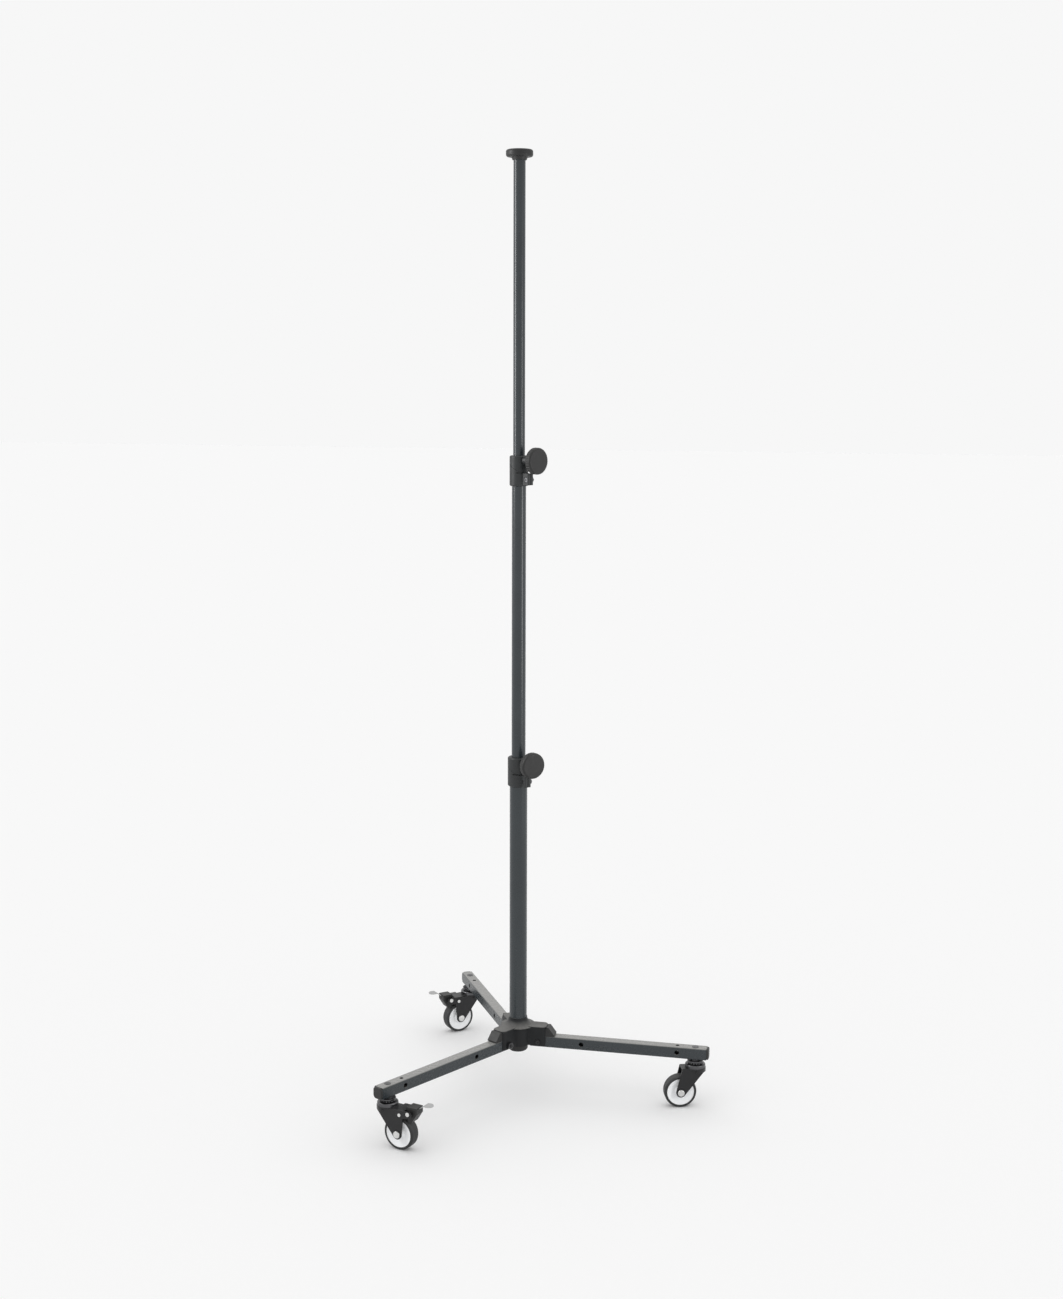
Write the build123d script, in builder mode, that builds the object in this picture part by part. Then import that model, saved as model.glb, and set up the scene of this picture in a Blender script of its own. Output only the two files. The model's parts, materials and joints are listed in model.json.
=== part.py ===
from build123d import *
import math
import os

# Rolling light stand: a three-section telescopic column on a hub with three folding
# square-tube legs, each on a swivel caster; two of the casters have a foot brake.
# Millimetres, +Z up. The origin is on the floor, on the column's axis.
# Leg A lies along +X, leg B at 120 degrees and leg C at 240 degrees.

# Fits and clearances
running = 0.06  # radial, between a part and the shaft or tube that moves in it
seated = 0.05  # radial, between fixed pieces that slide together
side_gap = 0.3  # between flat sides that move past each other
stop_gap = 0.2  # between a part at rest and its stop
thread_end = 1.0  # how far a screw stands past its nut or stops short of a hole's end
cut_start = 1.0  # how far outside a piece a cut begins

# Casters
wheel_d = 70.0
wheel_width = 24.0
tread_thickness = 5.5
tread_shoulder = 3.5
wheel_hub_d = 18.0
wheel_dish = 4.0
wheel_bevel = 1.0
caster_height = 107.0  # floor to the underside of the leg
caster_trail = 33.0  # swivel axis to wheel axle
axle_d = 8.0
axle_head_d = 15.0
axle_head_height = 4.0
fork_plate = 2.5
fork_crown_top = 88.0
fork_crown_d = 46.0
fork_rear_x = 31.0
braked_fork_rear_x = 47.0
fork_skirt = 8.0  # depth of the full-width part of the fork's sides
fork_foot_d = 21.0
race_d = 44.0
race_height = 8.0
race_ball_d = 4.0
race_ball_circle_d = 29.0
race_ball_count = 16
upper_race_d = 34.0
upper_race_height = 3.0
kingpin_d = 10.0
kingpin_head_d = 16.0
kingpin_head_height = 3.6
stem_d = 8.0
stem_spacer_af = 19.0
stem_tip_gap = 2.0

# Foot brake, in the caster's own X (trail) and Z
brake_pivot_x = 60.0
brake_pivot_z = 84.0
brake_pin_d = 6.0
brake_pin_head_d = 9.0
brake_plate = 1.5
brake_rivet_x = 40.0
brake_rivet_z = 79.0
brake_rivet_d = 4.0
brake_rivet_head_d = 7.5
cam_arm = 20.5  # pivot to the tip that bears on the tread
cam_width = 24.0
cam_nose = 6.0
cam_rear_x = 78.0
cam_cover = 2.0
pedal_thickness = 2.0
pedal_neck = 13.0
pedal_tip_d = 20.0
pedal_tang_x = 65.0
pedal_tip_x = 110.0
pedal_bend_x = 93.0
pedal_level = 93.0
pedal_rise = 13.0

# Legs
leg_size = 25.0
leg_wall = 1.5
leg_corner = 2.5
leg_inner_x = 30.0
leg_outer_x = 419.0
leg_pivot_x = 48.0
leg_pivot_d = 8.0
leg_reach = 394.0  # column axis to swivel axis
leg_hole_d = 10.5
leg_top_hole_d = 8.0
leg_hole_inner_x = 144.0
leg_hole_outer_x = 355.0
end_cap_head = 4.5
end_cap_plug = 12.0
sleeve_nut_d = 11.0
sleeve_nut_head_d = 14.0
sleeve_nut_head = 1.0

# Hub
arm_width = 35.0
arm_reach = 66.0
arm_bottom_z = 111.0
arm_top_z = 154.0
arm_roof = 5.0
arm_end_radius = 10.0
hub_core_d = 50.0
hub_bottom_z = 107.0
hub_edge = 2.0
web_d = 62.0
web_step = 1.0
skirt_top_z = 170.0
skirt_wall = 0.9
channel_inner_x = 26.0
socket_floor_z = 125.0
column_bolt_d = 10.0
column_bolt_head_d = 17.0
column_bolt_recess = 7.5
column_plug_height = 25.0
bottom_cap_d = 43.0
bottom_cap_depth = 14.0
bottom_cap_edge = 6.0
bottom_cap_spigot = 0.8
stop_inner_x = 58.0
stop_outer_x = 84.0
stop_flat = 5.0
stop_toe = 3.0
pivot_head_d = 10.0
pivot_head_height = 3.0
pivot_nut_af = 13.0
pivot_nut_height = 6.5

# Column
lower_tube_d = 38.0
middle_tube_d = 30.0
top_tube_d = 25.0
tube_wall = 1.5
lower_tube_length = 598.0
middle_tube_length = 713.0
top_tube_length = 714.0
middle_overlap = 66.0
top_overlap = 66.0
foot_lip = 3.0
foot_lip_width = 3.0
cap_d = 56.0
cap_thickness = 15.0
cap_edge = 4.5
cap_web = 8.0
cap_neck_wall = 4.5
cap_neck_height = 6.0
cap_plug_depth = 14.0
insert_d = 14.0
insert_length = 14.0
insert_tap_d = 8.5  # tapping size of the M10 thread

# Collars, in their own frame: knob along +X, Z from the collar's lower end
collar_height = 64.0
collar_seat = 32.0
collar_edge = 3.5
lug_edge = 2.5
upper_collar_d = 40.0
lower_collar_d = 46.6
collar_boss_d = 18.5
collar_boss_length = 20.0
collar_knob_z = 54.0
collar_slot_z = 27.5
collar_slot_height = 1.8
collar_slot_x = 9.0
lug_width = 15.6
lug_reach = 15.0
lug_bottom_z = 3.0
lug_slit = 1.5
lug_bolt_offset = 7.0  # beyond the collar's outside
lug_bolt_z = 14.0
lug_bolt_d = 6.0
lug_bolt_head_d = 10.0
lug_bolt_head_depth = 3.0
lug_nut_height = 4.0
seam_tilt = 30.0
seam_width = 1.2
seam_depth = 0.8
seam_centre_z = 39.5
upper_knob_azimuth = -32.0
lower_knob_azimuth = -45.0
knob_d = 56.0
knob_thickness = 14.5
knob_edge = 4.5
knob_gap = 4.5
knob_flutes = 30
knob_flute_d = 4.4
knob_screw_d = 8.0
knob_screw_engaged = 10.0
knob_pad_thickness = 2.0

# Each leg: its azimuth, the azimuth its caster trails at, and whether it has a brake
legs = {
    "a": (0.0, 198.0, False),
    "b": (120.0, 222.0, True),
    "c": (240.0, 343.0, True),
}

# Worked out from the sizes above
leg_mid_z = caster_height + leg_size / 2
leg_top_z = caster_height + leg_size
wheel_z = wheel_d / 2
wheel_core_d = wheel_d - 2 * tread_thickness
fork_inner = wheel_width / 2 + fork_plate
fork_outer = fork_inner + fork_plate
race_top_z = fork_crown_top + race_height
upper_race_z = race_top_z + race_ball_d + side_gap
channel_width = leg_size + 2 * side_gap
lower_seat_z = socket_floor_z + lower_tube_length
middle_foot_z = lower_seat_z - middle_overlap
upper_seat_z = middle_foot_z + middle_tube_length
top_foot_z = upper_seat_z - top_overlap
tube_top_z = top_foot_z + top_tube_length
cap_top_z = tube_top_z + cap_web
lower_collar_z = lower_seat_z - collar_seat
upper_collar_z = upper_seat_z - collar_seat

UPRIGHT = (Align.CENTER, Align.CENTER, Align.MIN)
HANGING = (Align.CENTER, Align.CENTER, Align.MAX)


def save(piece, label):
    """Name a finished piece and write its STEP file."""
    piece.label = label
    export_step(piece, f"parts/{label}.step")


def side_plane(y):
    """The plane at this Y whose sketch X and Y are the model's X and Z."""
    return Plane(origin=(0, y, 0), x_dir=(1, 0, 0), z_dir=(0, -1, 0))


def cross_plane(x, z):
    """The plane across X, centred at this height, whose sketch X is the model's Y."""
    return Plane(origin=(x, 0, z), x_dir=(0, 1, 0), z_dir=(1, 0, 0))


def tube(outside_d, wall, bottom_z, length):
    """A round tube of the column."""
    with BuildPart() as round_tube:
        with BuildSketch(Plane.XY.offset(bottom_z)):
            Circle(outside_d / 2)
            Circle(outside_d / 2 - wall, mode=Mode.SUBTRACT)
        extrude(amount=length)
    return round_tube.part


def foot_sleeve(inner_d, outer_tube_d, bottom_z, length):
    """The guide sleeve on the foot of a sliding tube, with a lip under the tube's end."""
    outside = outer_tube_d / 2 - tube_wall - running
    with BuildPart() as sleeve:
        with BuildSketch(Plane.XY.offset(bottom_z)):
            Circle(outside)
            Circle(inner_d / 2, mode=Mode.SUBTRACT)
        extrude(amount=length)
        with BuildSketch(Plane.XY.offset(bottom_z)):
            Circle(outside)
            Circle(inner_d / 2 - foot_lip_width, mode=Mode.SUBTRACT)
        extrude(amount=-foot_lip)
    return sleeve.part


def hub_arm_cuts():
    """The leg channels and the holes for their pivot bolts, cut from the open part."""
    with PolarLocations(0, len(legs)):
        with Locations((channel_inner_x, 0, arm_top_z - arm_roof)):
            Box(
                arm_reach,
                channel_width,
                arm_top_z,
                align=(Align.MIN, Align.CENTER, Align.MAX),
                mode=Mode.SUBTRACT,
            )
        with Locations(Location((leg_pivot_x, 0, leg_mid_z), (90, 0, 0))):
            Cylinder(leg_pivot_d / 2 + seated, 2 * arm_width, mode=Mode.SUBTRACT)


def hub_casting():
    """The cast hub: a core with the column's socket, a skirt and three arms."""
    socket_r = lower_tube_d / 2 + seated
    skirt_r = socket_r + skirt_wall
    flare = skirt_top_z - arm_top_z + hub_edge
    flare_r = skirt_r + flare
    with BuildPart() as casting:
        with BuildSketch(Plane.XY.offset(arm_bottom_z)):
            with PolarLocations(0, len(legs)):
                with Locations(((arm_reach - arm_end_radius) / 2, 0)):
                    Rectangle(arm_reach - arm_end_radius, arm_width)
                with Locations((arm_reach / 2, 0)):
                    Rectangle(arm_reach, arm_width - 2 * arm_end_radius)
                with Locations(
                    (arm_reach - arm_end_radius, arm_width / 2 - arm_end_radius),
                    (arm_reach - arm_end_radius, arm_end_radius - arm_width / 2),
                ):
                    Circle(arm_end_radius)
        extrude(amount=arm_top_z - arm_bottom_z)
        fillet(casting.edges().group_by(Axis.Z)[-1], hub_edge)
        with Locations((0, 0, hub_bottom_z)):
            Cylinder(hub_core_d / 2, arm_top_z - hub_bottom_z - hub_edge, align=UPRIGHT)
        with Locations((0, 0, arm_bottom_z)):
            Cylinder(web_d / 2, arm_top_z - arm_bottom_z - web_step, align=UPRIGHT)
        with BuildSketch(Plane.XZ):
            with BuildLine():
                Polyline(
                    (flare_r, arm_top_z - hub_edge),
                    (0, arm_top_z - hub_edge),
                    (0, skirt_top_z),
                    (skirt_r, skirt_top_z),
                )
                RadiusArc((skirt_r, skirt_top_z), (flare_r, arm_top_z - hub_edge), -flare)
            make_face()
        revolve(axis=Axis.Z)
        hub_arm_cuts()
        with Locations((0, 0, socket_floor_z)):
            Cylinder(socket_r, skirt_top_z, align=UPRIGHT, mode=Mode.SUBTRACT)
        Cylinder(column_bolt_d / 2 + seated, skirt_top_z, align=UPRIGHT, mode=Mode.SUBTRACT)
        with Locations((0, 0, hub_bottom_z)):
            Cylinder(
                column_bolt_head_d / 2 + seated,
                column_bolt_recess,
                align=UPRIGHT,
                mode=Mode.SUBTRACT,
            )
    return casting.part


def hub_bottom_cap():
    """The domed plastic cap under the hub, over the column bolt's head."""
    with BuildPart() as cap:
        with Locations((0, 0, hub_bottom_z)):
            Cylinder(bottom_cap_d / 2, bottom_cap_depth, align=HANGING)
        fillet(cap.edges().group_by(Axis.Z)[0], bottom_cap_edge)
        with Locations((0, 0, hub_bottom_z)):
            Cylinder(column_bolt_head_d / 2, bottom_cap_spigot, align=UPRIGHT)
    return cap.part


def column_plug():
    """The threaded plug in the foot of the lower tube."""
    with BuildPart() as plug:
        with Locations((0, 0, socket_floor_z)):
            Cylinder(lower_tube_d / 2 - tube_wall - seated, column_plug_height, align=UPRIGHT)
            Cylinder(
                column_bolt_d / 2 + seated,
                column_plug_height,
                align=UPRIGHT,
                mode=Mode.SUBTRACT,
            )
    return plug.part


def column_bolt():
    """The bolt that pulls the column's plug down into the hub."""
    head_z = hub_bottom_z + column_bolt_recess
    head_height = column_bolt_recess - hub_edge
    with BuildPart() as bolt:
        with Locations((0, 0, head_z)):
            Cylinder(column_bolt_head_d / 2 - seated, head_height, align=HANGING)
            Cylinder(
                column_bolt_d / 2,
                socket_floor_z + column_plug_height - head_z - hub_edge,
                align=UPRIGHT,
            )
        with BuildSketch(Plane.XY.offset(head_z - head_height)):
            RegularPolygon(column_bolt_d / 2, 6)
        extrude(amount=head_height / 2, mode=Mode.SUBTRACT)
    return bolt.part


def leg_stop_blocks():
    """The polymer blocks that each leg bears up against, one in each arm."""
    foot_z = leg_top_z + stop_gap
    roof_z = arm_top_z - arm_roof
    with BuildPart() as blocks:
        with BuildSketch(side_plane(channel_width / 2)):
            with BuildLine():
                Polyline(
                    (stop_inner_x, foot_z),
                    (stop_outer_x, foot_z),
                    (stop_outer_x, foot_z + stop_toe),
                    (arm_reach + stop_gap + stop_flat, arm_top_z - hub_edge),
                    (arm_reach + stop_gap, arm_top_z - hub_edge),
                    (arm_reach + stop_gap, roof_z),
                    (stop_inner_x, roof_z),
                    close=True,
                )
            make_face()
        extrude(amount=channel_width)
        fillet(blocks.edges().filter_by(Axis.Y).sort_by(Axis.X)[-3:], stop_toe / 3)
    around = [blocks.part.rotate(Axis.Z, azimuth) for azimuth, _, _ in legs.values()]
    return Compound(around)


def leg_pivot_bolts():
    """The three button-head bolts that the legs fold on."""
    face = arm_width / 2
    with BuildPart() as bolt:
        with BuildSketch(side_plane(face + pivot_nut_height + thread_end)):
            with Locations((leg_pivot_x, leg_mid_z)):
                Circle(leg_pivot_d / 2)
        extrude(amount=2 * face + pivot_nut_height + thread_end)
        with BuildSketch(side_plane(-face)):
            with Locations((leg_pivot_x, leg_mid_z)):
                Circle(pivot_head_d / 2)
        extrude(amount=pivot_head_height)
        fillet(bolt.edges().group_by(Axis.Y)[0], pivot_head_height / 2)
        with BuildSketch(side_plane(-face - pivot_head_height)):
            with Locations((leg_pivot_x, leg_mid_z)):
                RegularPolygon(leg_pivot_d / 3, 6)
        extrude(amount=-pivot_head_height / 2, mode=Mode.SUBTRACT)
    around = [bolt.part.rotate(Axis.Z, azimuth) for azimuth, _, _ in legs.values()]
    return Compound(around)


def leg_pivot_nuts():
    """The lock nuts on the three pivot bolts."""
    with BuildPart() as nut:
        with BuildSketch(side_plane(arm_width / 2 + pivot_nut_height)):
            with Locations((leg_pivot_x, leg_mid_z)):
                RegularPolygon(pivot_nut_af / 2, 6, major_radius=False)
                Circle(leg_pivot_d / 2 + seated, mode=Mode.SUBTRACT)
        extrude(amount=pivot_nut_height)
    around = [nut.part.rotate(Axis.Z, azimuth) for azimuth, _, _ in legs.values()]
    return Compound(around)


def leg_tube():
    """A square leg tube along +X, with its pivot, accessory and caster holes."""
    side_holes = (leg_hole_inner_x, leg_hole_outer_x)
    with BuildPart() as leg:
        with BuildSketch(cross_plane(leg_inner_x, leg_mid_z)):
            RectangleRounded(leg_size, leg_size, leg_corner)
            RectangleRounded(
                leg_size - 2 * leg_wall,
                leg_size - 2 * leg_wall,
                leg_corner - leg_wall,
                mode=Mode.SUBTRACT,
            )
        extrude(amount=leg_outer_x - leg_inner_x)
        with Locations(Location((leg_pivot_x, 0, leg_mid_z), (90, 0, 0))):
            Cylinder(leg_pivot_d / 2 + running, 2 * leg_size, mode=Mode.SUBTRACT)
        with Locations(*[Location((x, 0, leg_mid_z), (90, 0, 0)) for x in side_holes]):
            Cylinder(leg_hole_d / 2, 2 * leg_size, mode=Mode.SUBTRACT)
        with Locations((leg_hole_outer_x, 0, leg_mid_z)):
            Cylinder(leg_top_hole_d / 2, leg_size, align=UPRIGHT, mode=Mode.SUBTRACT)
        with Locations((leg_reach, 0, leg_mid_z)):
            Cylinder(stem_d / 2 + seated, leg_size, align=HANGING, mode=Mode.SUBTRACT)
            Cylinder(sleeve_nut_d / 2 + seated, leg_size, align=UPRIGHT, mode=Mode.SUBTRACT)
    return leg.part


def leg_end_cap():
    """The plastic plug in the outer end of a leg."""
    plug_size = leg_size - 2 * leg_wall - 2 * seated
    with BuildPart() as cap:
        with BuildSketch(cross_plane(leg_outer_x, leg_mid_z)):
            RectangleRounded(leg_size, leg_size, 3 * leg_corner)
        extrude(amount=end_cap_head)
        fillet(cap.edges().group_by(Axis.X)[-1], end_cap_head / 2)
        with BuildSketch(cross_plane(leg_outer_x, leg_mid_z)):
            RectangleRounded(plug_size, plug_size, leg_corner)
        extrude(amount=-end_cap_plug)
    return cap.part


def caster_stem():
    """The riveted stem on the leg: threaded stud, upper race, kingpin and its head."""
    spacer_z = upper_race_z + upper_race_height
    head_z = fork_crown_top - fork_plate - side_gap
    with BuildPart() as stem:
        with BuildSketch(Plane.XY.offset(spacer_z)):
            RegularPolygon(stem_spacer_af / 2, 6, major_radius=False)
        extrude(amount=caster_height - spacer_z)
        with Locations((0, 0, upper_race_z)):
            Cylinder(upper_race_d / 2, upper_race_height, align=UPRIGHT)
        fillet(stem.edges().group_by(Axis.Z)[0], upper_race_height / 4)
        with Locations((0, 0, caster_height)):
            Cylinder(stem_d / 2, leg_size - leg_wall - stem_tip_gap, align=UPRIGHT)
        with Locations((0, 0, head_z)):
            Cylinder(kingpin_d / 2, upper_race_z - head_z, align=UPRIGHT)
            Cylinder(kingpin_head_d / 2, kingpin_head_height, align=HANGING)
        fillet(stem.edges().group_by(Axis.Z)[0], kingpin_head_height / 2)
    return stem.part.moved(Location((leg_reach, 0, 0)))


def stem_nut():
    """The flanged sleeve nut that holds the stem from the top of the leg."""
    bottom_z = caster_height + leg_wall + thread_end
    with BuildPart() as nut:
        with Locations((0, 0, leg_top_z)):
            Cylinder(sleeve_nut_head_d / 2, sleeve_nut_head, align=UPRIGHT)
        fillet(nut.edges().group_by(Axis.Z)[-1], sleeve_nut_head / 2)
        with Locations((0, 0, bottom_z)):
            Cylinder(sleeve_nut_d / 2, leg_top_z - bottom_z, align=UPRIGHT)
            Cylinder(
                stem_d / 2 + seated,
                leg_size - leg_wall - stem_tip_gap - thread_end,
                align=UPRIGHT,
                mode=Mode.SUBTRACT,
            )
    return nut.part.moved(Location((leg_reach, 0, 0)))


def fork(rear_x):
    """The pressed caster fork: a crown with a round skirted head and two tapering sides."""
    head_r = fork_crown_d / 2
    front_x = -math.sqrt(head_r**2 - fork_outer**2)
    with BuildPart() as pressed:
        with BuildSketch(Plane.XY.offset(fork_crown_top)):
            with Locations(((front_x + rear_x) / 2, 0)):
                Rectangle(rear_x - front_x, 2 * fork_outer)
        extrude(amount=-fork_plate)
        for plane in (side_plane(fork_outer), side_plane(-fork_inner)):
            with BuildSketch(plane):
                with Locations(((front_x + rear_x) / 2, fork_crown_top)):
                    Rectangle(rear_x - front_x, fork_skirt, align=(Align.CENTER, Align.MAX))
                with Locations((caster_trail, wheel_z)):
                    Circle(fork_foot_d / 2)
                make_hull()
            extrude(amount=fork_plate)
        corner = pressed.edges().filter_by(Axis.X).group_by(Axis.Z)[-1]
        fillet(corner, fork_plate - 2 * seated)
        with BuildSketch(Plane.XY.offset(fork_crown_top)):
            Circle(head_r)
        extrude(amount=-fork_plate)
        with BuildSketch(Plane.XY.offset(fork_crown_top)):
            Circle(head_r)
            Circle(head_r - fork_plate, mode=Mode.SUBTRACT)
            Rectangle(head_r, 2 * head_r, align=(Align.MIN, Align.CENTER), mode=Mode.SUBTRACT)
        extrude(amount=-fork_skirt)
        Cylinder(kingpin_d / 2 + running, 2 * caster_height, mode=Mode.SUBTRACT)
        with Locations(Location((caster_trail, 0, wheel_z), (90, 0, 0))):
            Cylinder(axle_d / 2 + seated, 3 * fork_outer, mode=Mode.SUBTRACT)
    return pressed.part


def swivel_race():
    """The lower ball race on the fork's crown, with its ring of balls."""
    with BuildPart() as race:
        with Locations((0, 0, fork_crown_top)):
            Cylinder(race_d / 2, race_height, align=UPRIGHT)
            Cylinder(
                kingpin_d / 2 + side_gap, race_height, align=UPRIGHT, mode=Mode.SUBTRACT
            )
        fillet(race.faces().sort_by(Axis.Z)[-1].outer_wire().edges(), race_height / 3)
    with BuildPart() as balls:
        with Locations((0, 0, race_top_z + race_ball_d / 2)):
            with PolarLocations(race_ball_circle_d / 2, race_ball_count):
                Sphere(race_ball_d / 2)
    return Compound([race.part] + list(balls.part.solids()))


def axle():
    """The axle rivet through the fork and wheel, with a domed head on each side."""
    with BuildPart() as rivet:
        with BuildSketch(side_plane(fork_outer)):
            with Locations((caster_trail, wheel_z)):
                Circle(axle_d / 2)
        extrude(amount=2 * fork_outer)
        for plane in (side_plane(fork_outer + axle_head_height), side_plane(-fork_outer)):
            with BuildSketch(plane):
                with Locations((caster_trail, wheel_z)):
                    Circle(axle_head_d / 2)
            extrude(amount=axle_head_height)
        fillet(rivet.edges().group_by(Axis.Y)[0], axle_head_height / 2)
        fillet(rivet.edges().group_by(Axis.Y)[-1], axle_head_height / 2)
    return rivet.part


def wheel_axis():
    """The wheel's axis, through its centre."""
    return Axis((caster_trail, 0, wheel_z), (0, 1, 0))


def wheel_core():
    """The white wheel centre: a dished disc with a hub and a rim."""
    half_hub = fork_inner - side_gap
    half_rim = wheel_width / 2 - wheel_bevel
    half_web = half_rim - wheel_dish
    hub_r = wheel_hub_d / 2
    core_r = wheel_core_d / 2
    with BuildPart() as core:
        with BuildSketch(cross_plane(caster_trail, wheel_z)):
            with BuildLine():
                Polyline(
                    (-half_hub, axle_d / 2 + running),
                    (half_hub, axle_d / 2 + running),
                    (half_hub, hub_r - wheel_bevel),
                    (half_hub - wheel_bevel, hub_r),
                    (half_web, hub_r + wheel_dish),
                    (half_rim - wheel_bevel, core_r - wheel_dish),
                    (half_rim, core_r - wheel_bevel),
                    (half_rim, core_r),
                    (-half_rim, core_r),
                    (-half_rim, core_r - wheel_bevel),
                    (wheel_bevel - half_rim, core_r - wheel_dish),
                    (-half_web, hub_r + wheel_dish),
                    (wheel_bevel - half_hub, hub_r),
                    (-half_hub, hub_r - wheel_bevel),
                    close=True,
                )
            make_face()
        revolve(axis=wheel_axis())
    return core.part


def wheel_tread():
    """The rubber tread round the wheel's centre."""
    with BuildPart() as tread:
        with BuildSketch(side_plane(wheel_width / 2)):
            with Locations((caster_trail, wheel_z)):
                Circle(wheel_d / 2)
                Circle(wheel_core_d / 2, mode=Mode.SUBTRACT)
        extrude(amount=wheel_width)
        outer = tread.edges().filter_by(GeomType.CIRCLE).sort_by(SortBy.RADIUS)[-2:]
        fillet(outer, tread_shoulder)
    return tread.part


def brake_bracket():
    """The pressed bracket riveted outside the fork, which carries the pedal's pin."""
    outside = fork_outer + brake_plate
    bottom_z = brake_rivet_z - brake_rivet_head_d
    front_x = brake_rivet_x - brake_rivet_head_d - brake_plate
    rear_x = brake_pivot_x + brake_pin_head_d
    web_rear_x = brake_pivot_x - brake_pin_head_d - brake_plate
    with BuildPart() as bracket:
        for plane in (side_plane(outside), side_plane(-fork_outer)):
            with BuildSketch(plane):
                with BuildLine():
                    Polyline(
                        (front_x, fork_crown_top + brake_plate),
                        (front_x, bottom_z + brake_plate),
                        (brake_rivet_x, bottom_z),
                        (brake_pivot_x, bottom_z + 2 * brake_plate),
                        (rear_x, brake_pivot_z - brake_pin_d),
                        (rear_x, brake_pivot_z + 2 * brake_plate),
                        (brake_pivot_x + brake_pin_d, fork_crown_top + brake_plate),
                        close=True,
                    )
                make_face()
            extrude(amount=brake_plate)
        with BuildSketch(Plane.XY.offset(fork_crown_top)):
            with Locations(((front_x + web_rear_x) / 2, 0)):
                Rectangle(web_rear_x - front_x, 2 * outside)
        extrude(amount=brake_plate)
        with Locations(Location((brake_rivet_x, 0, brake_rivet_z), (90, 0, 0))):
            Cylinder(brake_rivet_d / 2 + seated, 4 * outside, mode=Mode.SUBTRACT)
        with Locations(Location((brake_pivot_x, 0, brake_pivot_z), (90, 0, 0))):
            Cylinder(brake_pin_d / 2 + seated, 4 * outside, mode=Mode.SUBTRACT)
    return bracket.part


def brake_rivets():
    """The pedal's pin and the two rivets that hold the bracket to the fork."""
    outside = fork_outer + brake_plate
    head = brake_plate
    with BuildPart() as pin:
        with BuildSketch(side_plane(outside)):
            with Locations((brake_pivot_x, brake_pivot_z)):
                Circle(brake_pin_d / 2)
        extrude(amount=2 * outside)
        for plane in (side_plane(outside + head), side_plane(-outside)):
            with BuildSketch(plane):
                with Locations((brake_pivot_x, brake_pivot_z)):
                    Circle(brake_pin_head_d / 2)
            extrude(amount=head)
        fillet(pin.edges().group_by(Axis.Y)[0], head / 2)
        fillet(pin.edges().group_by(Axis.Y)[-1], head / 2)
    with BuildPart() as rivet:
        with BuildSketch(side_plane(outside)):
            with Locations((brake_rivet_x, brake_rivet_z)):
                Circle(brake_rivet_d / 2)
        extrude(amount=fork_plate + brake_plate)
        with BuildSketch(side_plane(outside + head)):
            with Locations((brake_rivet_x, brake_rivet_z)):
                Circle(brake_rivet_head_d / 2)
        extrude(amount=head)
        fillet(rivet.edges().group_by(Axis.Y)[-1], head / 2)
    return Compound([pin.part, rivet.part, rivet.part.mirror(Plane.XZ)])


def fork_with_rivet_holes():
    """The fork of a braked caster, drilled for the bracket's rivets."""
    with BuildPart() as drilled:
        add(fork(braked_fork_rear_x))
        with Locations(Location((brake_rivet_x, 0, brake_rivet_z), (90, 0, 0))):
            Cylinder(brake_rivet_d / 2 + seated, 4 * fork_outer, mode=Mode.SUBTRACT)
    return drilled.part


def brake_pedal():
    """The steel foot lever: a tang held in the cam, then a rise to a level round tip."""
    top_z = pedal_level + pedal_thickness
    tip_z = pedal_level + pedal_rise
    with BuildPart() as pedal:
        with BuildSketch(side_plane(pedal_tip_d / 2)):
            with BuildLine():
                Polyline(
                    (pedal_tang_x, pedal_level),
                    (cam_rear_x, pedal_level),
                    (pedal_bend_x, tip_z - pedal_thickness),
                    (pedal_tip_x, tip_z - pedal_thickness),
                    (pedal_tip_x, tip_z),
                    (pedal_bend_x, tip_z),
                    (cam_rear_x, top_z),
                    (pedal_tang_x, top_z),
                    close=True,
                )
            make_face()
        extrude(amount=pedal_tip_d)
        with BuildSketch(Plane.XY.offset(pedal_level)):
            with Locations((cam_rear_x, 0)):
                Rectangle(pedal_thickness, pedal_neck, align=(Align.MIN, Align.CENTER))
            with Locations((pedal_tip_x - pedal_tip_d / 2, 0)):
                Circle(pedal_tip_d / 2)
            make_hull()
            with Locations((pedal_tang_x, 0)):
                Rectangle(
                    cam_rear_x - pedal_tang_x, pedal_neck, align=(Align.MIN, Align.CENTER)
                )
        extrude(amount=pedal_rise, mode=Mode.INTERSECT)
    return pedal.part


def brake_cam():
    """The black cam on the pin: it holds the pedal, and its tip turns onto the tread."""
    tip_z = brake_pivot_z - cam_arm
    top_z = pedal_level + pedal_thickness + cam_cover
    front_x = brake_pivot_x - cam_nose
    with BuildPart() as cam:
        with BuildSketch(side_plane(cam_width / 2)):
            with BuildLine():
                Polyline(
                    (brake_pivot_x, tip_z),
                    (brake_pivot_x + cam_nose, tip_z + brake_plate),
                    (cam_rear_x, brake_pivot_z),
                    (cam_rear_x, top_z),
                    (front_x, top_z),
                    (front_x, brake_pivot_z - cam_nose),
                    (brake_pivot_x - cam_nose / 2, tip_z + cam_nose / 2),
                    close=True,
                )
            make_face()
        extrude(amount=cam_width)
        fillet(cam.edges().filter_by(Axis.Y).group_by(Axis.Z)[-1], cam_cover / 2)
        with Locations(Location((brake_pivot_x, 0, brake_pivot_z), (90, 0, 0))):
            Cylinder(brake_pin_d / 2 + running, 2 * cam_width, mode=Mode.SUBTRACT)
        with Locations((pedal_tang_x - seated, 0, pedal_level - seated)):
            Box(
                cam_rear_x,
                pedal_neck + 2 * seated,
                pedal_thickness + 2 * seated,
                align=(Align.MIN, Align.CENTER, Align.MIN),
                mode=Mode.SUBTRACT,
            )
    return cam.part


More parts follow.
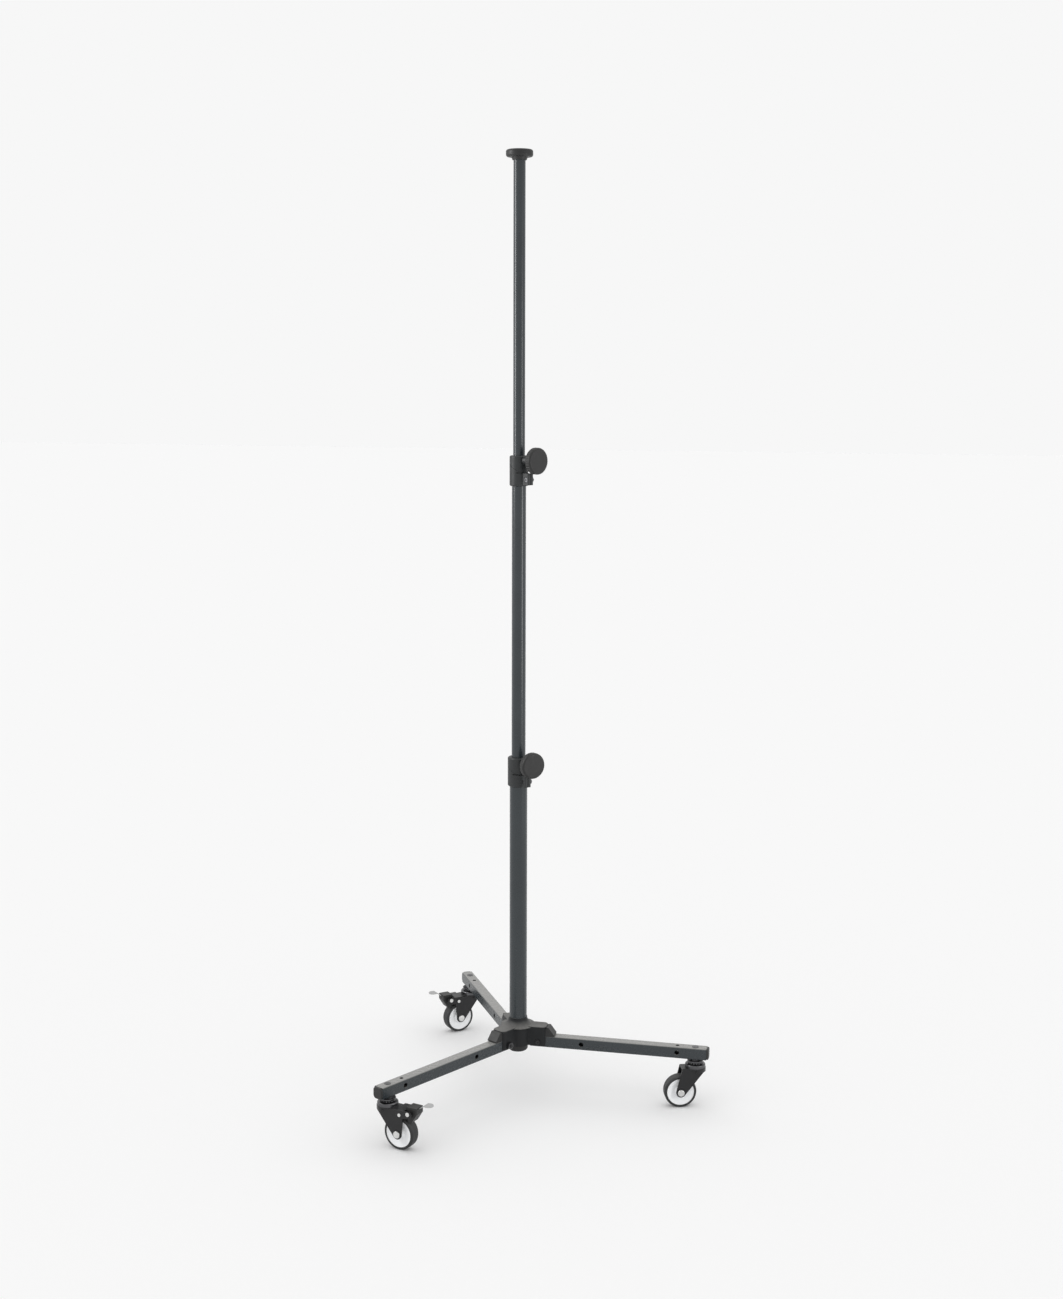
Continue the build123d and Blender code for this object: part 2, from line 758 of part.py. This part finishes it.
def collar(outside_d, outer_tube_d, inner_tube_d):
    """A clamp collar: it sits on the outer tube and guides the inner one."""
    outside = outside_d / 2
    lug_x = outside + lug_reach
    boss_x = outside + collar_boss_length
    tilted = Plane(
        origin=(0, 0, seam_centre_z),
        z_dir=(math.sin(math.radians(seam_tilt)), 0, math.cos(math.radians(seam_tilt))),
    )
    with BuildPart() as seam:
        with BuildSketch(tilted.offset(-seam_width / 2)):
            Circle(2 * outside_d)
        extrude(amount=seam_width)
        Cylinder(outside - seam_depth, 4 * collar_height, mode=Mode.SUBTRACT)
        Cylinder(outside + seam_depth, 4 * collar_height, mode=Mode.INTERSECT)
    with BuildPart() as body:
        Cylinder(outside, collar_height, align=UPRIGHT)
        fillet(body.edges().filter_by(GeomType.CIRCLE), collar_edge)
        add(seam.part, mode=Mode.SUBTRACT)
        with Locations((0, 0, lug_bottom_z)):
            Box(
                lug_x,
                lug_width,
                collar_slot_z - lug_bottom_z,
                align=(Align.MIN, Align.CENTER, Align.MIN),
            )
        fillet(body.edges().filter_by(Axis.Z).group_by(Axis.X)[-1], lug_edge)
        with BuildSketch(cross_plane(outside / 2, collar_knob_z)):
            Circle(collar_boss_d / 2)
        extrude(amount=boss_x - outside / 2)
        with Locations((collar_slot_x, 0, collar_slot_z)):
            Box(
                lug_x,
                2 * outside_d,
                collar_slot_height,
                align=(Align.MIN, Align.CENTER, Align.MIN),
                mode=Mode.SUBTRACT,
            )
        with Locations((0, 0, -cut_start)):
            Box(
                2 * lug_x,
                lug_slit,
                collar_slot_z + cut_start,
                align=(Align.MIN, Align.CENTER, Align.MIN),
                mode=Mode.SUBTRACT,
            )
        Cylinder(outer_tube_d / 2 + seated, collar_seat, align=UPRIGHT, mode=Mode.SUBTRACT)
        Cylinder(inner_tube_d / 2 + running, collar_height, align=UPRIGHT, mode=Mode.SUBTRACT)
        with BuildSketch(cross_plane(0, collar_knob_z)):
            Circle(knob_screw_d / 2 + running)
        extrude(amount=2 * boss_x, mode=Mode.SUBTRACT)
        bolt_x = outside + lug_bolt_offset
        with Locations(Location((bolt_x, 0, lug_bolt_z), (90, 0, 0))):
            Cylinder(lug_bolt_d / 2 + seated, 2 * lug_width, mode=Mode.SUBTRACT)
        with BuildSketch(side_plane(lug_bolt_head_depth - lug_width / 2)):
            with Locations((bolt_x, lug_bolt_z)):
                Circle(lug_bolt_head_d / 2 + seated)
        extrude(amount=lug_width, mode=Mode.SUBTRACT)
    return body.part


def collar_bolt(outside_d):
    """The pinch bolt across a collar's lug, with its hexagon nut on the far side."""
    bolt_x = outside_d / 2 + lug_bolt_offset
    far = lug_width / 2
    head_inner_y = lug_bolt_head_depth - far
    head_outer_y = head_inner_y - lug_bolt_head_depth + thread_end
    with BuildPart() as bolt:
        with BuildSketch(side_plane(far + lug_nut_height + thread_end)):
            with Locations((bolt_x, lug_bolt_z)):
                Circle(lug_bolt_d / 2)
        extrude(amount=far + lug_nut_height + thread_end - head_inner_y)
        with BuildSketch(side_plane(head_inner_y)):
            with Locations((bolt_x, lug_bolt_z)):
                Circle(lug_bolt_head_d / 2)
        extrude(amount=head_inner_y - head_outer_y)
        with BuildSketch(side_plane(head_outer_y)):
            with Locations((bolt_x, lug_bolt_z)):
                RegularPolygon(lug_bolt_d / 3, 6)
        extrude(amount=-thread_end, mode=Mode.SUBTRACT)
    with BuildPart() as nut:
        with BuildSketch(side_plane(far + lug_nut_height)):
            with Locations((bolt_x, lug_bolt_z)):
                RegularPolygon(lug_bolt_head_d / 2, 6, major_radius=False)
                Circle(lug_bolt_d / 2 + seated, mode=Mode.SUBTRACT)
        extrude(amount=lug_nut_height)
    return Compound([bolt.part, nut.part])


def knob(outside_d):
    """The round clamp knob, with a fluted rim."""
    back_x = outside_d / 2 + collar_boss_length + knob_gap
    with BuildPart() as grip:
        with BuildSketch(cross_plane(back_x, collar_knob_z)):
            Circle(knob_d / 2)
        extrude(amount=knob_thickness)
        fillet(grip.edges().group_by(Axis.X)[-1], knob_edge)
        fillet(grip.edges().group_by(Axis.X)[0], knob_edge / 2)
        with BuildSketch(cross_plane(back_x, collar_knob_z)):
            with PolarLocations(knob_d / 2 + knob_flute_d / 4, knob_flutes):
                Circle(knob_flute_d / 2)
        extrude(amount=knob_thickness - knob_edge, mode=Mode.SUBTRACT)
        with BuildSketch(cross_plane(back_x, collar_knob_z)):
            Circle(knob_screw_d / 2)
        extrude(amount=knob_screw_engaged, mode=Mode.SUBTRACT)
    return grip.part


def knob_screw(outside_d, inner_tube_d):
    """The clamp screw moulded into the knob."""
    tip_x = inner_tube_d / 2 + stop_gap + knob_pad_thickness + seated
    end_x = outside_d / 2 + collar_boss_length + knob_gap + knob_screw_engaged
    with BuildPart() as screw:
        with BuildSketch(cross_plane(tip_x, collar_knob_z)):
            Circle(knob_screw_d / 2)
        extrude(amount=end_x - tip_x)
        chamfer(screw.edges().group_by(Axis.X)[0], 2 * seated)
    return screw.part


def clamp_pad(inner_tube_d):
    """The polymer pad between the screw's tip and the inner tube."""
    with BuildPart() as pad:
        with BuildSketch(cross_plane(inner_tube_d / 2 + stop_gap, collar_knob_z)):
            Circle(knob_screw_d / 2)
        extrude(amount=knob_pad_thickness)
    return pad.part


def top_cap():
    """The mushroom cap on the column: a disc, a neck and a plug inside the tube."""
    tube_r = top_tube_d / 2
    disc_z = cap_top_z - cap_thickness
    with BuildPart() as cap:
        with Locations((0, 0, disc_z)):
            Cylinder(cap_d / 2, cap_thickness, align=UPRIGHT)
        fillet(cap.edges().filter_by(GeomType.CIRCLE), cap_edge)
        with Locations((0, 0, disc_z)):
            Cone(
                tube_r + cap_neck_wall / 2,
                tube_r + cap_neck_wall,
                cap_neck_height,
                align=HANGING,
            )
        with Locations((0, 0, tube_top_z)):
            Cylinder(
                tube_r + seated,
                cap_thickness + cap_neck_height,
                align=HANGING,
                mode=Mode.SUBTRACT,
            )
            Cylinder(tube_r - tube_wall - seated, cap_plug_depth, align=HANGING)
        with Locations((0, 0, cap_top_z)):
            Cylinder(insert_d / 2, insert_length, align=HANGING, mode=Mode.SUBTRACT)
    return cap.part


def top_insert():
    """The brass insert in the cap, tapped for the fitting that the stand carries."""
    with BuildPart() as insert:
        with Locations((0, 0, cap_top_z)):
            Cylinder(insert_d / 2, insert_length, align=HANGING)
            Cylinder(insert_tap_d / 2, insert_length, align=HANGING, mode=Mode.SUBTRACT)
    return insert.part


def save_base():
    """The hub, its hardware and the lower tube."""
    save(hub_casting(), "hub_casting")
    save(hub_bottom_cap(), "hub_bottom_cap")
    save(column_plug(), "column_plug")
    save(column_bolt(), "column_bolt")
    save(leg_stop_blocks(), "leg_stop_blocks")
    save(leg_pivot_bolts(), "leg_pivot_bolts")
    save(leg_pivot_nuts(), "leg_pivot_nuts")


def save_column():
    """The three tubes, their foot sleeves and the cap."""
    save(tube(lower_tube_d, tube_wall, socket_floor_z, lower_tube_length), "tube_lower")
    save(tube(middle_tube_d, tube_wall, middle_foot_z, middle_tube_length), "tube_middle")
    save(tube(top_tube_d, tube_wall, top_foot_z, top_tube_length), "tube_top")
    middle_sleeve = middle_overlap - stop_gap
    top_sleeve = top_overlap - stop_gap
    save(
        foot_sleeve(middle_tube_d, lower_tube_d, middle_foot_z, middle_sleeve),
        "middle_foot_sleeve",
    )
    save(foot_sleeve(top_tube_d, middle_tube_d, top_foot_z, top_sleeve), "top_foot_sleeve")
    save(top_cap(), "top_cap")
    save(top_insert(), "top_insert")


def save_collar(level, height, azimuth, outside_d, outer_tube_d, inner_tube_d):
    """One collar with its bolt, knob, screw and pad, placed on the column."""
    place = Location((0, 0, height), (0, 0, azimuth))
    save(collar(outside_d, outer_tube_d, inner_tube_d).moved(place), f"collar_{level}")
    save(collar_bolt(outside_d).moved(place), f"collar_bolt_{level}")
    save(knob(outside_d).moved(place), f"knob_{level}")
    save(knob_screw(outside_d, inner_tube_d).moved(place), f"knob_screw_{level}")
    save(clamp_pad(inner_tube_d).moved(place), f"clamp_pad_{level}")


def save_leg(name, azimuth):
    """One leg with its end cap, caster stem and nut."""
    turned = Location((0, 0, 0), (0, 0, azimuth))
    save(leg_tube().moved(turned), f"leg_tube_{name}")
    save(leg_end_cap().moved(turned), f"leg_end_cap_{name}")
    save(caster_stem().moved(turned), f"caster_stem_{name}")
    save(stem_nut().moved(turned), f"stem_nut_{name}")


def save_caster(name, azimuth, trail_azimuth, braked):
    """One caster under the end of its leg, with a foot brake where it has one."""
    x = leg_reach * math.cos(math.radians(azimuth))
    y = leg_reach * math.sin(math.radians(azimuth))
    place = Location((x, y, 0), (0, 0, trail_azimuth))
    save(swivel_race().moved(place), f"swivel_race_{name}")
    save(axle().moved(place), f"axle_{name}")
    save(wheel_core().moved(place), f"wheel_core_{name}")
    save(wheel_tread().moved(place), f"wheel_tread_{name}")
    if braked:
        save(fork_with_rivet_holes().moved(place), f"fork_{name}")
        save(brake_bracket().moved(place), f"brake_bracket_{name}")
        save(brake_rivets().moved(place), f"brake_rivets_{name}")
        save(brake_pedal().moved(place), f"brake_pedal_{name}")
        save(brake_cam().moved(place), f"brake_cam_{name}")
    else:
        save(fork(fork_rear_x).moved(place), f"fork_{name}")


os.makedirs("parts", exist_ok=True)
save_base()
save_column()
save_collar(
    "lower", lower_collar_z, lower_knob_azimuth, lower_collar_d, lower_tube_d, middle_tube_d
)
save_collar(
    "upper", upper_collar_z, upper_knob_azimuth, upper_collar_d, middle_tube_d, top_tube_d
)
for leg_name, (leg_azimuth, caster_azimuth, has_brake) in legs.items():
    save_leg(leg_name, leg_azimuth)
    save_caster(leg_name, leg_azimuth, caster_azimuth, has_brake)
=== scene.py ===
import json
import math

import bpy
from mathutils import Matrix, Vector

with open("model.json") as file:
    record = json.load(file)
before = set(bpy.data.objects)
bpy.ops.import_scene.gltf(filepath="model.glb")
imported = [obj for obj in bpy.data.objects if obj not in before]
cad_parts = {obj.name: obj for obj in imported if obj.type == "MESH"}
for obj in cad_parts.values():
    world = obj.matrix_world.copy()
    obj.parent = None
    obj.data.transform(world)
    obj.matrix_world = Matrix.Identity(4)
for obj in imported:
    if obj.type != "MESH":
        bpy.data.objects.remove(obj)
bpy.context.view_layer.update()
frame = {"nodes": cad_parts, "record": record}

# Camera and set
CAMERA_AZIMUTH = math.radians(-77.2)
CAMERA_DISTANCE = 3.81
CAMERA_HEIGHT = 1.591
CAMERA_PITCH = math.radians(8.98)
CAMERA_YAW = math.radians(0.41)
CAMERA_ROLL = math.radians(0.16)
CAMERA_LENS = 49.99
SENSOR = 36.0
FLOOR_SIZE = 60.0
FLOOR_COLOUR = (0.97, 0.97, 0.97, 1.0)
FLOOR_ROUGHNESS = 0.9
FAR_LIGHT = 0.93
NEAR_LIGHT = 0.80
TOP_LIGHT = 0.20
NEAR_EDGE = -0.6  # towards the camera, as a cosine
FAR_EDGE = 0.5
TOP_FROM = 0.5  # upward part of a direction where the top light begins
TOP_FULL = 0.9
# Strip lights: azimuth in degrees, reach, height, width, length, watts
STRIPE = (-18.0, 2.4, 1.1, 0.22, 1.3, 13.0)
WINDOW = (-158.0, 2.2, 2.0, 0.5, 1.5, 28.0)

# Finishes: linear colours
CHARCOAL = (0.024, 0.030, 0.034)
CAST_BLACK = (0.004, 0.005, 0.006)
FORK_BLACK = (0.009, 0.009, 0.010)
COLLAR_BLACK = (0.013, 0.015, 0.016)
MOULDED_BLACK = (0.009, 0.009, 0.009)
TREAD_GREY = (0.022, 0.023, 0.024)
CORE_WHITE = (0.90, 0.91, 0.92)
NATURAL = (0.62, 0.60, 0.54)
ZINC = (0.70, 0.70, 0.69)
PEDAL_STEEL = (0.46, 0.46, 0.46)
TURNED = (0.50, 0.49, 0.47)
DARK_STEEL = (0.12, 0.12, 0.125)
BRASS = (0.72, 0.53, 0.26)
BARE_METAL = (0.36, 0.36, 0.36)
# Pale colour blended onto upward faces: partly dust, partly a painted sheen that lights the
# tops.
TOP_DUST_AND_SHEEN = (0.42, 0.41, 0.39)
GRIT_RATIO = 9.0  # speckle's frequency over the mottle's


def node(tree, kind, **values):
    """A shader node with its named inputs and attributes set."""
    made = tree.nodes.new(kind)
    for key, value in values.items():
        if hasattr(made, key):
            setattr(made, key, value)
        else:
            made.inputs[key.replace("_", " ")].default_value = value
    return made


def noise(tree, place, scale, detail, stretch=(1.0, 1.0, 1.0)):
    """A noise texture's factor over the object, in cycles per metre."""
    mapping = node(tree, "ShaderNodeMapping", Scale=stretch)
    texture = node(tree, "ShaderNodeTexNoise", Scale=scale, Detail=detail)
    tree.links.new(place.outputs["Object"], mapping.inputs["Vector"])
    tree.links.new(mapping.outputs["Vector"], texture.inputs["Vector"])
    return texture.outputs["Fac"]


def spread(tree, factor, low, high, to_low, to_high):
    """A factor mapped from one range to another and held inside it."""
    ranged = node(tree, "ShaderNodeMapRange")
    for name, value in zip(
        ("From Min", "From Max", "To Min", "To Max"), (low, high, to_low, to_high)
    ):
        ranged.inputs[name].default_value = value
    tree.links.new(factor, ranged.inputs["Value"])
    return ranged.outputs["Result"]


def blended(tree, factor, first, second):
    """Two colours mixed by a factor; each is a colour or a socket."""
    mix = node(tree, "ShaderNodeMix", data_type="RGBA")
    tree.links.new(factor, mix.inputs["Factor"])
    for value, name in ((first, "A"), (second, "B")):
        socket = next(s for s in mix.inputs if s.name == name and s.type == "RGBA")
        if isinstance(value, tuple):
            socket.default_value = (*value, 1.0)
        else:
            tree.links.new(value, socket)
    return next(s for s in mix.outputs if s.type == "RGBA")


def edge_mask(tree, radius, worn):
    """Where the surface turns sharply: the rounded normal against the true one."""
    rounded = node(tree, "ShaderNodeBevel", samples=6, Radius=radius)
    geometry = node(tree, "ShaderNodeNewGeometry")
    dot = node(tree, "ShaderNodeVectorMath", operation="DOT_PRODUCT")
    tree.links.new(rounded.outputs["Normal"], dot.inputs[0])
    tree.links.new(geometry.outputs["Normal"], dot.inputs[1])
    sharp = spread(tree, dot.outputs["Value"], 0.93, 0.72, 0.0, 1.0)
    broken = node(tree, "ShaderNodeMath", operation="MULTIPLY")
    tree.links.new(sharp, broken.inputs[0])
    tree.links.new(worn, broken.inputs[1])
    return broken.outputs["Value"], rounded.outputs["Normal"]


def finish(
    name,
    colour,
    rough,
    metallic=0.0,
    mottle=0.18,
    patch=14.0,
    grain=1400.0,
    depth=0.00004,
    stretch=(1.0, 1.0, 1.0),
    wear=0.35,
    worn_colour=BARE_METAL,
    worn_rough=0.38,
    edge=0.0006,
    top_dust_and_sheen=0.06,
    specular=0.5,
    blotch=1.0,
):
    """A procedural finish: mottled colour, uneven gloss, grain, worn edges, and upward faces
    blended paler, partly dust and partly a painted sheen.
    """
    material = bpy.data.materials.new(name)
    material.use_nodes = True
    tree = material.node_tree
    shader = tree.nodes["Principled BSDF"]
    place = node(tree, "ShaderNodeTexCoord")
    broad = noise(tree, place, patch, 4.0)
    middle = noise(tree, place, patch * GRIT_RATIO, 6.0)
    fine = noise(tree, place, grain, 3.0, stretch)
    dark = tuple(c * (1.0 - mottle) for c in colour)
    light = tuple(min(1.0, c * (1.0 + mottle)) for c in colour)
    tone = blended(tree, spread(tree, broad, 0.35, 0.65, 0.0, 1.0), dark, light)
    speck = spread(tree, middle, 0.55, 0.75, 0.0, 0.5 * blotch)
    toned = blended(tree, speck, tone, tuple(min(1.0, c * 1.25 + 0.004) for c in colour))
    geometry = node(tree, "ShaderNodeNewGeometry")
    split = node(tree, "ShaderNodeSeparateXYZ")
    tree.links.new(geometry.outputs["Normal"], split.inputs["Vector"])
    # Upward faces turn paler: partly settled dust, partly a painted sheen standing in for light
    # on the tops.
    upward = spread(tree, split.outputs["Z"], 0.3, 1.0, 0.0, top_dust_and_sheen)
    dust_and_sheen_share = node(tree, "ShaderNodeMath", operation="MULTIPLY")
    tree.links.new(upward, dust_and_sheen_share.inputs[0])
    tree.links.new(
        spread(tree, middle, 0.3, 0.7, 1.0 - 0.6 * blotch, 1.0), dust_and_sheen_share.inputs[1]
    )
    dusted_and_sheened = blended(tree, dust_and_sheen_share.outputs["Value"], toned, TOP_DUST_AND_SHEEN)
    worn = spread(tree, middle, 0.42, 0.62, 0.0, wear)
    mask, normal = edge_mask(tree, edge, worn)
    tree.links.new(blended(tree, mask, dusted_and_sheened, worn_colour), shader.inputs["Base Color"])
    uneven = spread(
        tree, middle, 0.3, 0.7, rough - 0.06 * blotch, rough + 0.07 * blotch
    )
    gloss = node(tree, "ShaderNodeMix", data_type="FLOAT")
    tree.links.new(mask, gloss.inputs["Factor"])
    tree.links.new(uneven, gloss.inputs["A"])
    gloss.inputs["B"].default_value = worn_rough
    tree.links.new(gloss.outputs["Result"], shader.inputs["Roughness"])
    bump = node(tree, "ShaderNodeBump", Strength=1.0, Distance=depth)
    tree.links.new(fine, bump.inputs["Height"])
    tree.links.new(normal, bump.inputs["Normal"])
    tree.links.new(bump.outputs["Normal"], shader.inputs["Normal"])
    shader.inputs["Metallic"].default_value = metallic
    shader.inputs["Specular IOR Level"].default_value = specular
    return material


FINISHES = {
    # Its large top amount paints the leg tops lighter: mostly a painted sheen standing in for
    # the bright reflection there, partly dust.
    "tube_coating": finish(
        "tube_coating", CHARCOAL, 0.27, wear=0.15, depth=0.00002, mottle=0.08,
        blotch=0.2, top_dust_and_sheen=0.55,
    ),
    "hub_paint": finish(
        "hub_paint", CAST_BLACK, 0.55, specular=0.35, top_dust_and_sheen=0.32, blotch=0.4, grain=900.0,
        depth=0.00010, mottle=0.2, wear=0.25,
    ),
    "fork_steel": finish("fork_steel", FORK_BLACK, 0.34, specular=0.4, wear=0.3, top_dust_and_sheen=0.03),
    "collar_plastic": finish(
        "collar_plastic", COLLAR_BLACK, 0.46, grain=1800.0, depth=0.00007,
        worn_colour=(0.11, 0.11, 0.11), wear=0.5,
    ),
    "black_plastic": finish(
        "black_plastic", MOULDED_BLACK, 0.50, grain=1600.0, depth=0.00007,
        worn_colour=(0.10, 0.10, 0.10), wear=0.5,
    ),
    "wheel_rubber": finish(
        "wheel_rubber", TREAD_GREY, 0.62, grain=1100.0, depth=0.00012, mottle=0.25,
        worn_colour=(0.09, 0.09, 0.085), wear=0.6, edge=0.0015, top_dust_and_sheen=0.12,
    ),
    "wheel_plastic": finish(
        "wheel_plastic", CORE_WHITE, 0.38, mottle=0.05, depth=0.00003,
        worn_colour=(0.55, 0.54, 0.52), wear=0.25, top_dust_and_sheen=0.1,
    ),
    "pale_plastic": finish(
        "pale_plastic", NATURAL, 0.5, mottle=0.06, worn_colour=(0.5, 0.48, 0.44)
    ),
    "zinc_steel": finish(
        "zinc_steel", ZINC, 0.30, metallic=1.0, mottle=0.10, grain=900.0, depth=0.00003,
        stretch=(1.0, 1.0, 6.0), worn_colour=(0.75, 0.75, 0.74), worn_rough=0.22,
    ),
    "pedal_steel": finish(
        "pedal_steel", PEDAL_STEEL, 0.34, metallic=1.0, mottle=0.12, grain=700.0,
        depth=0.00004, worn_colour=(0.72, 0.72, 0.72), worn_rough=0.25,
    ),
    "dark_steel": finish(
        "dark_steel", DARK_STEEL, 0.32, metallic=1.0, mottle=0.2, grain=900.0,
        depth=0.00003, worn_colour=(0.6, 0.6, 0.6), worn_rough=0.25, wear=0.5,
    ),
    "plain_steel": finish(
        "plain_steel", TURNED, 0.42, metallic=1.0, stretch=(1.0, 1.0, 12.0),
        worn_colour=(0.6, 0.6, 0.6),
    ),
    "brass": finish(
        "brass", BRASS, 0.3, metallic=1.0, stretch=(1.0, 1.0, 12.0),
        worn_colour=(0.85, 0.66, 0.36),
    ),
}


def dress_nodes():
    """Give each CAD node the finish of its slot."""
    for entry in frame["record"]["subparts"]:
        piece = frame["nodes"][entry["node"]]
        piece.data.materials.clear()
        piece.data.materials.append(FINISHES[entry["material_slot"]])


def add_strip(name, azimuth, reach, height, width, length, power):
    """An upright strip light that faces the column's axis."""
    place = light_place(azimuth, reach, height)
    data = bpy.data.lights.new(name, "AREA")
    data.shape = "RECTANGLE"
    data.size = width
    data.size_y = length
    data.energy = power
    light = bpy.data.objects.new(name, data)
    bpy.context.scene.collection.objects.link(light)
    light.location = place
    toward = Vector((-place[0], -place[1], 0.0))
    light.rotation_euler = toward.to_track_quat("-Z", "Y").to_euler()
    return light


def build_set():
    """The floor, the world and the strip lights, which are kept off the floor."""
    bpy.ops.mesh.primitive_plane_add(size=FLOOR_SIZE, location=(0.0, 0.0, 0.0))
    floor = bpy.context.object
    floor.name = "floor"
    material = bpy.data.materials.new("floor")
    material.use_nodes = True
    shader = material.node_tree.nodes["Principled BSDF"]
    shader.inputs["Base Color"].default_value = FLOOR_COLOUR
    shader.inputs["Roughness"].default_value = FLOOR_ROUGHNESS
    shader.inputs["Specular IOR Level"].default_value = 0.0
    floor.data.materials.append(material)
    build_world()
    stripe = add_strip("stripe", *STRIPE)
    window = add_strip("window", *WINDOW)
    unlit = bpy.data.collections.new("unlit_by_strips")
    unlit.objects.link(floor)
    unlit.collection_objects[0].light_linking.link_state = "EXCLUDE"
    for strip in (stripe, window):
        strip.light_linking.receiver_collection = unlit


def light_place(azimuth, reach, height):
    """A place about the column, by azimuth in degrees, reach and height."""
    angle = math.radians(azimuth)
    return (reach * math.cos(angle), reach * math.sin(angle), height)


def build_world():
    """White light, dimmer from the near side so dark pieces keep their shape, and more above."""
    world = bpy.data.worlds.new("studio")
    world.use_nodes = True
    tree = world.node_tree
    background = tree.nodes["Background"]
    place = node(tree, "ShaderNodeTexCoord")
    away = node(tree, "ShaderNodeVectorMath", operation="DOT_PRODUCT")
    tree.links.new(place.outputs["Generated"], away.inputs[0])
    away.inputs[1].default_value = (-math.cos(CAMERA_AZIMUTH), -math.sin(CAMERA_AZIMUTH), 0.0)
    level = spread(
        tree, away.outputs["Value"], NEAR_EDGE, FAR_EDGE, NEAR_LIGHT, FAR_LIGHT
    )
    split = node(tree, "ShaderNodeSeparateXYZ")
    tree.links.new(place.outputs["Generated"], split.inputs["Vector"])
    total = node(tree, "ShaderNodeMath", operation="ADD")
    tree.links.new(level, total.inputs[0])
    tree.links.new(
        spread(tree, split.outputs["Z"], TOP_FROM, TOP_FULL, 0.0, TOP_LIGHT), total.inputs[1]
    )
    background.inputs["Color"].default_value = (1.0, 1.0, 1.0, 1.0)
    tree.links.new(total.outputs["Value"], background.inputs["Strength"])
    bpy.context.scene.world = world


def add_camera():
    """The camera, placed by its angles about the column's foot."""
    data = bpy.data.cameras.new("camera")
    data.lens = CAMERA_LENS
    data.sensor_width = SENSOR
    data.sensor_height = SENSOR
    data.sensor_fit = "AUTO"
    camera = bpy.data.objects.new("camera", data)
    bpy.context.scene.collection.objects.link(camera)
    around = Matrix.Rotation(CAMERA_AZIMUTH + math.pi / 2 - CAMERA_YAW, 4, "Z")
    tilt = Matrix.Rotation(math.pi / 2 - CAMERA_PITCH, 4, "X")
    roll = Matrix.Rotation(CAMERA_ROLL, 4, "Z")
    place = Matrix.Translation(
        (
            CAMERA_DISTANCE * math.cos(CAMERA_AZIMUTH),
            CAMERA_DISTANCE * math.sin(CAMERA_AZIMUTH),
            CAMERA_HEIGHT,
        )
    )
    camera.matrix_world = place @ around @ tilt @ roll
    bpy.context.scene.camera = camera


bpy.context.scene.view_settings.view_transform = "Standard"
dress_nodes()
build_set()
add_camera()
